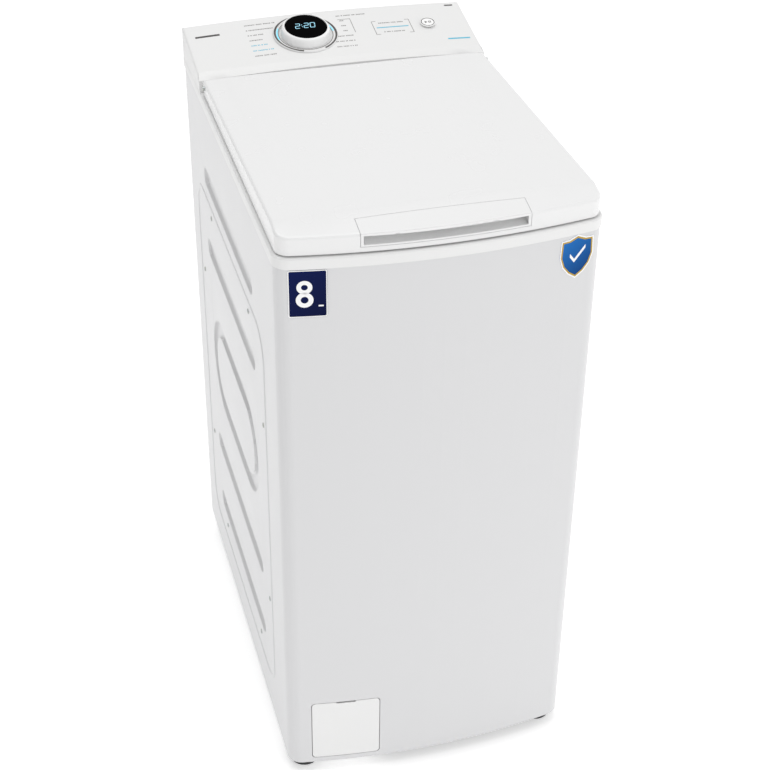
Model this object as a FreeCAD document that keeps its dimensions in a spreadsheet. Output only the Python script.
"""A 40 cm top load washing machine with a drum that turns about a level axis, as separate pieces.

Frame: X to the right seen from the front, -Y to the front, +Z up, millimetres.
The origin is on the floor, under the middle of the cabinet.
"""
import FreeCAD, Part
import math
import os

import Sketcher

Vector = FreeCAD.Vector
Rotation = FreeCAD.Rotation
Placement = FreeCAD.Placement

DRIVING_SIZES = {
    # cabinet
    "cabinet_width": 400, "cabinet_depth": 610, "overall_height": 875,
    "front_bow": 20, "corner_radius": 22, "steel_sheet": 1, "panel_inset": 1.5,
    "panel_bottom": 18, "console_zone_height": 63, "corner_return": 24, "rear_inset": 14,
    "flange_depth": 12, "seat_gap": 0.3,
    # pressed ribs of the side panels
    "rib_depth": 4, "rib_height": 28, "rib_length": 325, "rib_from_back": 120,
    "rib_spacing": 112, "ring_length": 315, "ring_height": 152, "ring_centre_height": 422,
    "rib_draft": 3, "screw_radius": 3.5, "screw_head": 1.2,
    # transit bolt holes and their plugs
    "transit_width": 228, "transit_height": 310, "plug_radius": 8.8, "plug_head": 14,
    # top frame and its loading opening
    "frame_edge": 14, "frame_plate": 6, "frame_wall": 3, "skirt_depth": 17,
    "opening_width": 290, "opening_front": 215, "opening_back": 120, "opening_radius": 30,
    "collar_bottom": 770,
    # lid
    "lid_inset": 4, "lid_gap": 2, "hinge_radius": 12, "hinge_y": 158, "lid_wall": 2.6,
    "lid_crease_y": -252, "lid_crease_rise": 10, "lid_front_height": 23, "top_crown": 5,
    "hinge_pin_radius": 3, "hinge_pin_length": 26, "running_gap": 0.05,
    "grip_width": 204, "grip_depth": 36, "grip_lip": 6, "grip_skin": 4, "grip_gap": 0.4,
    "pan_depth": 14, "pan_wall": 2.5, "pan_width": 272, "pan_front": 200, "pan_back": 110,
    "tray_width": 240, "tray_front": -60, "tray_back": 104, "tray_height": 40, "tray_wall": 2,
    "rail_height": 5, "hook_width": 24, "hook_thickness": 4, "hook_reach": 30,
    # console
    "console_front_y": 176, "console_edge_y": 190, "console_edge_height": 853.5,
    "console_wall": 3, "cove_gap": 1.2,
    "knob_x": -37, "knob_y": 247, "knob_radius": 34.5, "knob_height": 13, "knob_taper": 2,
    "window_radius": 29.4, "turning_gap": 0.3, "trim_outer": 45, "trim_inner": 37,
    "trim_height": 2.2, "button_x": 139, "button_radius": 10.5, "button_height": 1.6,
    "button_stem": 6, "button_stand": 2.3, "board_thickness": 1.6, "board_drop": 14,
    # filter flap
    "flap_x": -121, "flap_width": 94, "flap_height": 102, "flap_bottom": 27,
    "flap_radius": 5.5, "flap_gap": 0.8, "flap_thickness": 2.2, "flap_axis_rise": 6.5,
    "flap_axis_depth": 4, "flap_pin_radius": 1.6, "notch_width": 26, "notch_depth": 1.8,
    "recess_depth": 34, "recess_wall": 2, "recess_shelf": 9.5, "recess_half": 33,
    # feet and base
    "base_bottom": 20, "base_height": 42, "base_wall": 3, "base_floor": 4,
    "foot_x": 172, "foot_front_y": -258, "foot_rear_y": 262, "foot_radius": 20, "foot_pad": 10,
    "foot_stem": 5, "foot_boss": 14,
    # tub
    "tub_x": -6, "tub_y": -35, "tub_z": 405, "tub_radius": 238, "tub_length": 288,
    "tub_wall": 3, "tub_end_wall": 4, "tub_flange": 8, "tub_flange_width": 7,
    "hub_radius": 38, "hub_length": 20, "neck_width": 220, "neck_depth": 236, "neck_top": 720,
    "sump_width": 140, "sump_depth": 84, "sump_drop": 22, "spigot_radius": 18,
    # drum
    "drum_radius": 225, "drum_length": 270, "drum_sheet": 0.8, "mouth_width": 190,
    "mouth_depth": 210, "flap_sheet": 1, "barrel_radius": 3, "flap_pin": 1.5,
    "lifter_height": 46, "lifter_width": 60, "shaft_radius": 15, "bearing_radius": 31,
    "bearing_width": 16, "spider_thickness": 6,
    "pulley_radius": 140, "pulley_width": 12, "pulley_x": 168, "belt_thickness": 4,
    # motor
    "motor_y": 150, "motor_z": 105, "motor_radius": 60, "motor_length": 130, "motor_x": 20,
    "motor_pulley_radius": 11, "motor_shaft": 6,
    # suspension
    "spring_side": 160, "spring_offset": 205, "spring_radius": 9, "spring_wire": 3,
    "spring_turns": 9, "spring_bottom": 575, "spring_top": 742, "rail_top": 768,
    "rail_sheet": 2, "damper_radius": 12, "damper_rod": 5, "damper_side": 125, "damper_offset": 150,
    "damper_top": 130,
    # pump
    "pump_z": 80, "pump_radius": 31, "filter_radius": 24, "filter_cap_radius": 29,
    "drain_radius": 10,
    # inlet valve
    "valve_x": 140, "valve_z": 772, "thread_radius": 13.2, "thread_length": 12,
    # labels
    "label_thickness": 0.3, "tag_x": -162.5, "tag_width": 45, "tag_low": 748, "tag_height": 62.5,
    "shield_x": 163.5, "shield_top": 811, "shield_width": 45, "shield_height": 59,
}


class Size:
    """A number that remembers the sheet formula it comes from."""

    def __init__(self, number, formula):
        self.number = float(number)
        self.formula = formula

    def __add__(self, other):
        return Size(self.number + number(other), f"({self.formula} + {formula(other)})")

    def __sub__(self, other):
        return Size(self.number - number(other), f"({self.formula} - {formula(other)})")

    def __mul__(self, other):
        return Size(self.number * number(other), f"({self.formula} * {formula(other)})")

    def __truediv__(self, other):
        return Size(self.number / number(other), f"({self.formula} / {formula(other)})")

    def __neg__(self):
        return Size(-self.number, f"(0 - {self.formula})")

    def __radd__(self, other):
        return Size(number(other), formula(other)) + self

    def __rsub__(self, other):
        return Size(number(other), formula(other)) - self

    def __rmul__(self, other):
        return self * other

    def __float__(self):
        return self.number


def number(value):
    return value.number if isinstance(value, Size) else float(value)


def formula(value):
    return value.formula if isinstance(value, Size) else f"{float(value):.6f}"


class Sizes:
    """The driving sizes, each a cell of the sheet with its name as the alias."""


doc = FreeCAD.newDocument("washing_machine")
sheet = doc.addObject("Spreadsheet::Sheet", "Sizes")
P = Sizes()
for row, (name, value) in enumerate(DRIVING_SIZES.items(), start=1):
    sheet.set(f"A{row}", name)
    sheet.set(f"B{row}", str(value))
    sheet.setAlias(f"B{row}", name)
    setattr(P, name, Size(value, f"Sizes.{name}"))
doc.recompute()

# places that most pieces share
HALF_WIDTH = P.cabinet_width / 2
BACK = P.cabinet_depth / 2
FRONT = -P.cabinet_depth / 2
PANEL_TOP = P.overall_height - P.console_zone_height
FRAME_TOP = PANEL_TOP + P.frame_edge
LID_BOTTOM = FRAME_TOP + P.lid_gap
HINGE_Z = LID_BOTTOM + P.hinge_radius
PANEL_JOINT_Y = FRONT + P.front_bow + P.corner_return
REAR_PANEL_Y = BACK - P.rear_inset
INSIDE = P.panel_inset + P.steel_sheet + P.seat_gap
CONSOLE_BACK_Y = BACK - 3
CONSOLE_TOP = P.overall_height
TUB_OUTER = P.tub_radius + P.tub_wall
SPIN_AT = (P.tub_x, P.tub_y, P.tub_z)

NODES = []
AXIS_TURNS = {
    "X": Rotation(Vector(0, 1, 0), 90),
    "Y": Rotation(Vector(1, 0, 0), -90),
    "Z": Rotation(),
}


# ---------------------------------------------------------------- building blocks
def bind(thing, **properties):
    """Sets each property from a Size, by its formula, or from a plain number."""
    for name, value in properties.items():
        place = {"x": "Placement.Base.x", "y": "Placement.Base.y", "z": "Placement.Base.z"}
        thing.setExpression(place.get(name, name), formula(value))
    return thing


def box(x0, x1, y0, y1, z0, z1):
    block = doc.addObject("Part::Box", "block")
    return bind(block, Length=x1 - x0, Width=y1 - y0, Height=z1 - z0, x=x0, y=y0, z=z0)


def cylinder(axis, at, radius, length):
    """A cylinder that starts at a point and runs along +X, +Y or +Z."""
    rod = doc.addObject("Part::Cylinder", "rod")
    rod.Placement = Placement(Vector(), AXIS_TURNS[axis])
    return bind(rod, Radius=radius, Height=length, x=at[0], y=at[1], z=at[2])


def fuse(*pieces):
    if len(pieces) == 1:
        return pieces[0]
    joined = doc.addObject("Part::MultiFuse", "joined")
    joined.Shapes = list(pieces)
    return joined


def cut(base, *tools):
    rest = doc.addObject("Part::Cut", "rest")
    rest.Base, rest.Tool = base, fuse(*tools)
    return rest


def common(*pieces):
    shared = doc.addObject("Part::MultiCommon", "shared")
    shared.Shapes = list(pieces)
    return shared


def tube(axis, at, outer, inner, length):
    return cut(cylinder(axis, at, outer, length), cylinder(axis, at, inner, length))


def ready(shape, name="made"):
    """A finished shape as an object of the document."""
    made = doc.addObject("Part::Feature", name)
    made.Shape = shape
    return made


def along(axis):
    """A test for straight edges that run along an axis."""
    way = {"X": Vector(1, 0, 0), "Y": Vector(0, 1, 0), "Z": Vector(0, 0, 1)}[axis]

    def straight_along(edge):
        if not isinstance(edge.Curve, (Part.Line, Part.LineSegment)):
            return False
        return abs(abs(edge.tangentAt(edge.FirstParameter).dot(way)) - 1) < 1e-6

    return straight_along


def sketch_on(body, role, loops):
    """A sketch of closed outlines: each a list of (x, y) points, or ("circle", x, y, r)."""
    plane = next(f for f in body.Origin.OriginFeatures if f.Role == role)
    sketch = body.newObject("Sketcher::SketchObject", "outline")
    sketch.AttachmentSupport = [(plane, "")]
    sketch.MapMode = "FlatFace"

    def fix(kind, geometry, point, value):
        rule = Sketcher.Constraint(kind, -1, 1, geometry, point, number(value))
        sketch.setExpression(f"Constraints[{sketch.addConstraint(rule)}]", formula(value))

    for loop in loops:
        first = sketch.GeometryCount
        if loop[0] == "circle":
            centre = Vector(number(loop[1]), number(loop[2]), 0)
            sketch.addGeometry(Part.Circle(centre, Vector(0, 0, 1), number(loop[3])), False)
            fix("DistanceX", first, 3, loop[1])
            fix("DistanceY", first, 3, loop[2])
            size = Sketcher.Constraint("Radius", first, number(loop[3]))
            sketch.setExpression(f"Constraints[{sketch.addConstraint(size)}]", formula(loop[3]))
            continue
        corners = [Vector(number(x), number(y), 0) for x, y in loop]
        count = len(corners)
        for i in range(count):
            line = Part.LineSegment(corners[i], corners[(i + 1) % count])
            sketch.addGeometry(line, False)
        for i in range(count):
            meet = Sketcher.Constraint("Coincident", first + i, 2, first + (i + 1) % count, 1)
            sketch.addConstraint(meet)
        for i, (x, y) in enumerate(loop):
            fix("DistanceX", first + i, 1, x)
            fix("DistanceY", first + i, 1, y)
    return sketch


REVOLVE_PLANES = {"X": ("XY_Plane", "H_Axis"), "Y": ("XY_Plane", "V_Axis"),
                  "Z": ("XZ_Plane", "V_Axis")}


def turned(axis, at, profile):
    """A body turned about an axis through a point, from (along, radius) points of its profile."""
    body = doc.addObject("PartDesign::Body", "turned")
    role, line = REVOLVE_PLANES[axis]
    points = profile if axis == "X" else [(r, a) for a, r in profile]
    sketch = sketch_on(body, role, [points])
    spin = body.newObject("PartDesign::Revolution", "spin")
    spin.Profile = sketch
    spin.ReferenceAxis = (sketch, [line])
    spin.Angle = 360
    body.Tip = spin
    return bind(body, x=at[0], y=at[1], z=at[2]) if at else body


PAD_PLANES = {"X": "YZ_Plane", "Y": "XZ_Plane", "Z": "XY_Plane"}


def padded(axis, start, length, *loops):
    """A body padded along +X, +Y or +Z from a start, with the outline in the other two axes."""
    body = doc.addObject("PartDesign::Body", "padded")
    pad = body.newObject("PartDesign::Pad", "pad")
    pad.Profile = sketch_on(body, PAD_PLANES[axis], loops)
    bind(pad, Length=length)
    pad.Reversed = axis == "Y"  # an XZ sketch faces -Y
    body.Tip = pad
    return bind(body, **{axis.lower(): start})


def node(name, thing):
    """Keeps a finished piece under its own name."""
    thing.Label = name
    NODES.append(thing)
    return thing


def group(name, pieces):
    """Like pieces, such as the screws of a panel, as one node of separate solids."""
    bundle = doc.addObject("Part::Compound", "bundle")
    bundle.Links = list(pieces)
    return node(name, bundle)


# ---------------------------------------------------------------- shapes that need formulas
def plan_face(inset, rear_y):
    """The cabinet's plan, set in all round: straight sides, round corners and a bowed front."""
    bow, half, inset = float(P.front_bow), float(HALF_WIDTH), number(inset)
    big = (half * half + bow * bow) / (2 * bow)
    centre_y = float(FRONT) + big
    side, small, big = half - inset, float(P.corner_radius) - inset, big - inset
    turn_x = side - small
    turn_y = centre_y - math.sqrt((big - small) ** 2 - turn_x ** 2)
    share = big / (big - small)
    meet = Vector(turn_x * share, centre_y + (turn_y - centre_y) * share, 0)
    corner = Vector(turn_x, turn_y, 0)
    way = (Vector(side, turn_y, 0) - corner) + (meet - corner)
    middle = corner + way * (small / way.Length)

    def left(point):
        return Vector(-point.x, point.y, 0)

    back = Vector(side, number(rear_y), 0)
    start = Vector(side, turn_y, 0)
    nose = Vector(0, centre_y - big, 0)
    edges = [
        Part.LineSegment(left(back), left(start)).toShape(),
        Part.Arc(left(start), left(middle), left(meet)).toShape(),
        Part.Arc(left(meet), nose, meet).toShape(),
        Part.Arc(meet, middle, start).toShape(),
        Part.LineSegment(start, back).toShape(),
        Part.LineSegment(back, left(back)).toShape(),
    ]
    return Part.Face(Part.Wire(edges))


def slab(inset, rear_y, z0, z1):
    """The plan as a solid between two heights."""
    face = plan_face(inset, rear_y)
    face.translate(Vector(0, 0, number(z0)))
    return face.extrude(Vector(0, 0, number(z1) - number(z0)))


def block(x0, x1, y0, y1, z0, z1):
    x0, x1, y0, y1, z0, z1 = (number(v) for v in (x0, x1, y0, y1, z0, z1))
    return Part.makeBox(x1 - x0, y1 - y0, z1 - z0, Vector(x0, y0, z0))


def round_block(x0, x1, y0, y1, z0, z1, radius, axis="Z"):
    """A block whose four edges along an axis are rounded."""
    plain = block(x0, x1, y0, y1, z0, z1)
    return plain.makeFillet(number(radius), [e for e in plain.Edges if along(axis)(e)])


def rod(axis, at, radius, length):
    way = {"X": Vector(1, 0, 0), "Y": Vector(0, 1, 0), "Z": Vector(0, 0, 1)}[axis]
    place = Vector(*(number(v) for v in at))
    return Part.makeCylinder(number(radius), number(length), place, way)


def prism_x(points, x0, x1):
    """An outline in Y and Z, drawn out along X."""
    corners = [Vector(number(x0), number(y), number(z)) for y, z in points]
    face = Part.Face(Part.makePolygon(corners + corners[:1]))
    return face.extrude(Vector(number(x1) - number(x0), 0, 0))


def crown_below(y0, z0, y1, z1, inset=0):
    """All that lies under a crowned surface whose middle line runs between two points."""
    half, crown, inset = float(HALF_WIDTH), float(P.top_crown), number(inset)
    radius = (half * half + crown * crown) / (2 * crown) - inset
    start, end = Vector(0, number(y0), number(z0)), Vector(0, number(y1), number(z1))
    way = (end - start).normalize()
    down = Vector(0, way.z, -way.y)
    if down.z > 0:
        down = down * -1
    reach = float(P.cabinet_depth)
    base = start + down * (radius + inset) - way * reach
    return Part.makeCylinder(radius, 3 * reach, base, way)


def console_turn():
    """The tilt of the console's face, and the place on it above a plan point."""
    rise = float(CONSOLE_TOP - P.console_edge_height)
    run = float(CONSOLE_BACK_Y - P.console_edge_y)
    return math.atan2(rise, run)


def on_console(x, y):
    """A placement on the console's face: +Z of the piece leaves the face."""
    tilt = console_turn()
    half, crown = float(HALF_WIDTH), float(P.top_crown)
    z = float(P.console_edge_height) + (number(y) - float(P.console_edge_y)) * math.tan(tilt)
    drop = crown * (number(x) / half) ** 2
    lean = Rotation(Vector(1, 0, 0), math.degrees(tilt))
    return Placement(Vector(number(x), number(y), z - drop), lean)


# ---------------------------------------------------------------- cabinet panels
def stadium(length, height, depth0, depth1, grow0, grow1):
    """A slot with round ends that narrows with depth, lying in Y and Z, going along +X."""
    wires = []
    for depth, grow in ((depth0, grow0), (depth1, grow1)):
        radius = height / 2 + grow
        reach = length / 2 - height / 2
        top_left, top_right = Vector(depth, -reach, radius), Vector(depth, reach, radius)
        low_left, low_right = Vector(depth, -reach, -radius), Vector(depth, reach, -radius)
        wires.append(Part.Wire([
            Part.LineSegment(top_left, top_right).toShape(),
            Part.Arc(top_right, Vector(depth, reach + radius, 0), low_right).toShape(),
            Part.LineSegment(low_right, low_left).toShape(),
            Part.Arc(low_left, Vector(depth, -reach - radius, 0), top_left).toShape(),
        ]))
    return Part.makeLoft(wires, True, True)


def rib_places():
    """Centre heights of the four straight ribs, spaced about the ring in the middle."""
    ring, spacing = float(P.ring_centre_height), float(P.rib_spacing)
    reach = float(P.ring_height) / 2 + spacing * 0.83
    return [ring - reach - spacing, ring - reach, ring + reach, ring + reach + spacing]


def side_panel(side):
    """A pressed steel side with four ribs and a ring rib. It is made at the left, side -1."""
    sheet_t, depth = float(P.steel_sheet), float(P.rib_depth)
    draft, height = float(P.rib_draft), float(P.rib_height)
    outer_x = float(-HALF_WIDTH + P.panel_inset)
    y0, y1 = float(PANEL_JOINT_Y), float(BACK - 2)
    z0, z1 = float(P.panel_bottom), float(PANEL_TOP)
    flange = float(P.flange_depth)
    plate = block(outer_x, outer_x + sheet_t, y0, y1, z0, z1)
    rear_lip = block(outer_x, outer_x + flange, y1 - sheet_t, y1, z0, z1)
    low_lip = block(outer_x, outer_x + flange, y0 + flange, y1, z0, z0 + sheet_t)
    plate = plate.fuse([rear_lip, low_lip])
    middle_y = float(BACK - P.rib_from_back - P.rib_length / 2)
    ribs, grooves = [], []

    def press(length, tall, z):
        bump = stadium(length, tall, 0.5 * sheet_t, depth + sheet_t, sheet_t, sheet_t - draft)
        hollow = stadium(length, tall, -sheet_t, depth, draft / depth, -draft)
        for made, kept in ((bump, ribs), (hollow, grooves)):
            made.translate(Vector(outer_x, middle_y, z))
            kept.append(made)

    for z in rib_places():
        press(float(P.rib_length), height, z)
    ring_z = float(P.ring_centre_height)
    press(float(P.ring_length), float(P.ring_height), ring_z)
    panel = plate.fuse(ribs).cut(grooves)
    # the middle of the ring comes back out to the plane of the panel
    inner_length, inner_height = float(P.ring_length) - 2 * height, float(P.ring_height) - 2 * height
    island = stadium(inner_length, inner_height, 0, depth + sheet_t, draft, 2 * draft)
    pocket = stadium(inner_length, inner_height, sheet_t, depth + 3 * sheet_t, draft - sheet_t,
                     2 * draft - sheet_t)
    for made in (island, pocket):
        made.translate(Vector(outer_x, middle_y, ring_z))
    panel = panel.fuse(island).cut(pocket)
    if side > 0:
        panel = panel.mirror(Vector(), Vector(1, 0, 0))
    return panel


def make_cabinet():
    node("left_side_panel", ready(side_panel(-1)))
    node("right_side_panel", ready(side_panel(1)))
    shell = slab(P.panel_inset, PANEL_JOINT_Y, P.panel_bottom, PANEL_TOP)
    shell = shell.cut(slab(P.panel_inset + P.steel_sheet, BACK, 0, P.overall_height))
    door_hole = round_block(
        P.flap_x - P.flap_width / 2, P.flap_x + P.flap_width / 2, FRONT - 20, FRONT + 60,
        P.flap_bottom - P.flap_gap, P.flap_bottom + P.flap_height + P.flap_gap, P.flap_radius, "Y")
    node("front_panel", ready(shell.cut(door_hole)))

    half = HALF_WIDTH - INSIDE
    rear = box(-half, half, REAR_PANEL_Y - P.steel_sheet, REAR_PANEL_Y,
               P.base_bottom + P.base_height + 1, PANEL_TOP - 2)
    holes = [cylinder("Y", (P.valve_x, REAR_PANEL_Y - 5, P.valve_z), P.thread_radius + 1, 10),
             cylinder("Y", (-P.valve_x, REAR_PANEL_Y - 5, P.valve_z), P.drain_radius + 1, 10),
             cylinder("Y", (P.valve_x, REAR_PANEL_Y - 5, P.valve_z - 70), 8.2, 10)]
    for x, z in transit_bolt_places():
        holes.append(cylinder("Y", (x, REAR_PANEL_Y - 5, z), P.plug_radius + 0.2, 10))
    node("rear_panel", cut(rear, *holes))
    plugs = []
    for x, z in transit_bolt_places():
        stem = cylinder("Y", (x, REAR_PANEL_Y - 8, z), P.plug_radius, 8)
        plugs.append(fuse(stem, cylinder("Y", (x, REAR_PANEL_Y, z), P.plug_head, 3)))
    group("transit_bolt_plugs", plugs)

    screws = []
    for y, z in screw_places():
        for side in (-1, 1):
            start = -HALF_WIDTH + P.panel_inset - P.screw_head if side < 0 else (
                HALF_WIDTH - P.panel_inset)
            screws.append(cylinder("X", (start, y, z), P.screw_radius, P.screw_head))
    group("panel_screws", screws)


def transit_bolt_places():
    """Where the four bolts that hold the tub in transit go through the rear panel, as (x, z)."""
    half, rise = P.transit_width / 2, P.transit_height / 2
    return [(P.tub_x + side * half, P.tub_z + end * rise) for side in (-1, 1) for end in (-1, 1)]


def screw_places():
    """Eight screws round the ribbed field of each side, as (y, z)."""
    back, ring = BACK - 20, P.ring_centre_height
    inner, outer = (141, 392), (60, 466)
    near, far = 230, 104
    return ([(back - y, ring + near) for y in inner] + [(back - y, ring + far) for y in outer]
            + [(back - y, ring - near + 42) for y in outer] + [(back - y, ring - near - 84) for y in inner])


def make_base():
    rear = REAR_PANEL_Y - P.steel_sheet - P.seat_gap
    top = P.base_bottom + P.base_height
    tray = slab(INSIDE, rear, P.base_bottom, top)
    hollow = slab(INSIDE + P.base_wall, rear - P.base_wall, P.base_bottom + P.base_floor, top + 1)
    vent = round_block(-95, 95, -150, 190, 0, top, 30)
    tray = tray.cut([hollow, vent])
    lip_clear = []
    for side in (-1, 1):
        x = side * float(HALF_WIDTH - P.panel_inset)
        lip_clear.append(block(x - float(P.flange_depth) - 1, x + float(P.flange_depth) + 1,
                               float(PANEL_JOINT_Y), float(BACK), 0, P.panel_bottom + 1.3))
    bosses, bores = [], []
    for x, y in foot_places():
        bosses.append(rod("Z", (x, y, P.base_bottom), P.foot_boss, P.base_height - 8))
        bores.append(rod("Z", (x, y, 0), P.foot_stem + P.running_gap, 200))
    around = [piece for piece in recess_blocks(P.seat_gap, 0, P.console_zone_height)]
    node("base_frame", ready(tray.fuse(bosses).cut(bores + lip_clear + around)))
    nuts = []
    for name, (x, y) in zip(("front_left", "front_right", "rear_left", "rear_right"), foot_places()):
        pad, low = P.foot_pad, P.base_bottom - 6
        node(f"foot_{name}", turned("Z", (x, y, 0), [
            (0, 0), (0, P.foot_radius - 2), (2, P.foot_radius), (pad - 3, P.foot_radius),
            (pad, P.foot_stem + 4), (low - 0.4, P.foot_stem + 3), (low - 0.4, P.foot_stem),
            (P.base_bottom + P.base_height - 4, P.foot_stem),
            (P.base_bottom + P.base_height - 4, 0)]))
        nut = doc.addObject("Part::Prism", "nut")
        nut.Polygon = 6
        bind(nut, Circumradius=P.foot_stem * 1.9, Height=5.5, x=x, y=y, z=low + 0.3)
        nuts.append(cut(nut, cylinder("Z", (x, y, 0), P.foot_stem + P.running_gap, 60)))
    group("foot_lock_nuts", nuts)


def foot_places():
    return [(-P.foot_x, P.foot_front_y), (P.foot_x, P.foot_front_y),
            (-P.foot_x, P.foot_rear_y), (P.foot_x, P.foot_rear_y)]


def make_top_frame():
    body = slab(0, BACK, PANEL_TOP, FRAME_TOP)
    body = body.cut(slab(P.frame_wall, BACK - P.frame_wall, PANEL_TOP - 1, FRAME_TOP - P.frame_plate))
    edge = [e for e in body.Edges if abs(e.BoundBox.ZMin - float(FRAME_TOP)) < 1e-6
            and abs(e.BoundBox.ZMax - float(FRAME_TOP)) < 1e-6 and e.BoundBox.YMin < float(BACK) - 1]
    body = body.makeFillet(float(P.frame_wall) - 0.5, edge)
    skirt_in = INSIDE + P.seat_gap
    rear = REAR_PANEL_Y - P.steel_sheet - P.seat_gap
    skirt = slab(skirt_in, rear, PANEL_TOP - P.skirt_depth, FRAME_TOP - P.frame_plate + 1)
    skirt = skirt.cut(slab(skirt_in + P.frame_wall, rear - P.frame_wall, 0, P.overall_height))
    half, wall = P.opening_width / 2, P.frame_wall
    y0, y1, corner = -P.opening_front, P.opening_back, P.opening_radius
    collar = round_block(-half - wall, half + wall, y0 - wall, y1 + wall, P.collar_bottom,
                         FRAME_TOP - 1, corner + wall)
    mouth = round_block(-half, half, y0, y1, 0, P.overall_height, corner)
    lock_slot = block(-P.hook_width / 2 - 2, P.hook_width / 2 + 2, y0 - 44, y0 - 26,
                      PANEL_TOP - 30, P.overall_height)
    nozzle = rod("Y", (P.valve_x - 80, P.opening_back - 5, P.valve_z + 23), 6, 15)
    frame = body.fuse([skirt, collar]).cut([mouth, lock_slot, nozzle])
    node("top_frame", ready(frame.removeSplitter()))


# ---------------------------------------------------------------- lid
LID_REAR_TOP = HINGE_Z + P.hinge_radius
CREASE_Z = LID_REAR_TOP + P.lid_crease_rise
LID_FRONT_Z = LID_BOTTOM + P.lid_front_height


def lid_solid(inset):
    """The lid's outer form, set in all round by a wall."""
    inset = number(inset)
    hinge_y, hinge_z, round_r = float(P.hinge_y), float(HINGE_Z), float(P.hinge_radius) - inset
    crease_y, crease_z = float(P.lid_crease_y), float(CREASE_Z)
    front_y, front_z = float(FRONT) - 10, float(LID_FRONT_Z)
    low = hinge_z - round_r if inset == 0 else hinge_z - float(P.hinge_radius) - 2
    top = Vector(0, hinge_y, hinge_z + round_r)
    points = [Vector(0, hinge_y, low), Vector(0, hinge_y + round_r * math.sqrt(0.5),
              hinge_z - round_r * math.sqrt(0.5)), Vector(0, hinge_y + round_r, hinge_z)]
    upper = Vector(0, hinge_y + round_r * math.sqrt(0.5), hinge_z + round_r * math.sqrt(0.5))
    over = float(P.top_crown) + 20
    if inset == 0:
        rear = [Part.Arc(points[0], points[2], top).toShape()]
        start = points[0]
    else:
        start = Vector(0, hinge_y + round_r, low)
        rear = [Part.LineSegment(start, points[2]).toShape(), Part.Arc(points[2], upper, top).toShape()]
    high = Vector(0, hinge_y, crease_z + over)
    front_high = Vector(0, front_y, crease_z + over)
    front_low = Vector(0, front_y, low)
    edges = rear + [Part.LineSegment(a, b).toShape() for a, b in (
        (top, high), (high, front_high), (front_high, front_low), (front_low, start))]
    half = float(HALF_WIDTH)
    side_view = Part.Face(Part.Wire(edges))
    side_view.translate(Vector(-half, 0, 0))
    lid = side_view.extrude(Vector(2 * half, 0, 0))
    main = crown_below(P.hinge_y, LID_REAR_TOP, P.lid_crease_y, CREASE_Z, inset)
    facet = crown_below(P.lid_crease_y, CREASE_Z, FRONT + P.lid_inset, LID_FRONT_Z, inset)
    plan = slab(P.lid_inset + inset, P.hinge_y + P.hinge_radius + 1, 0, 2 * P.overall_height)
    return plan.common(main).common(facet).common(lid)


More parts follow.
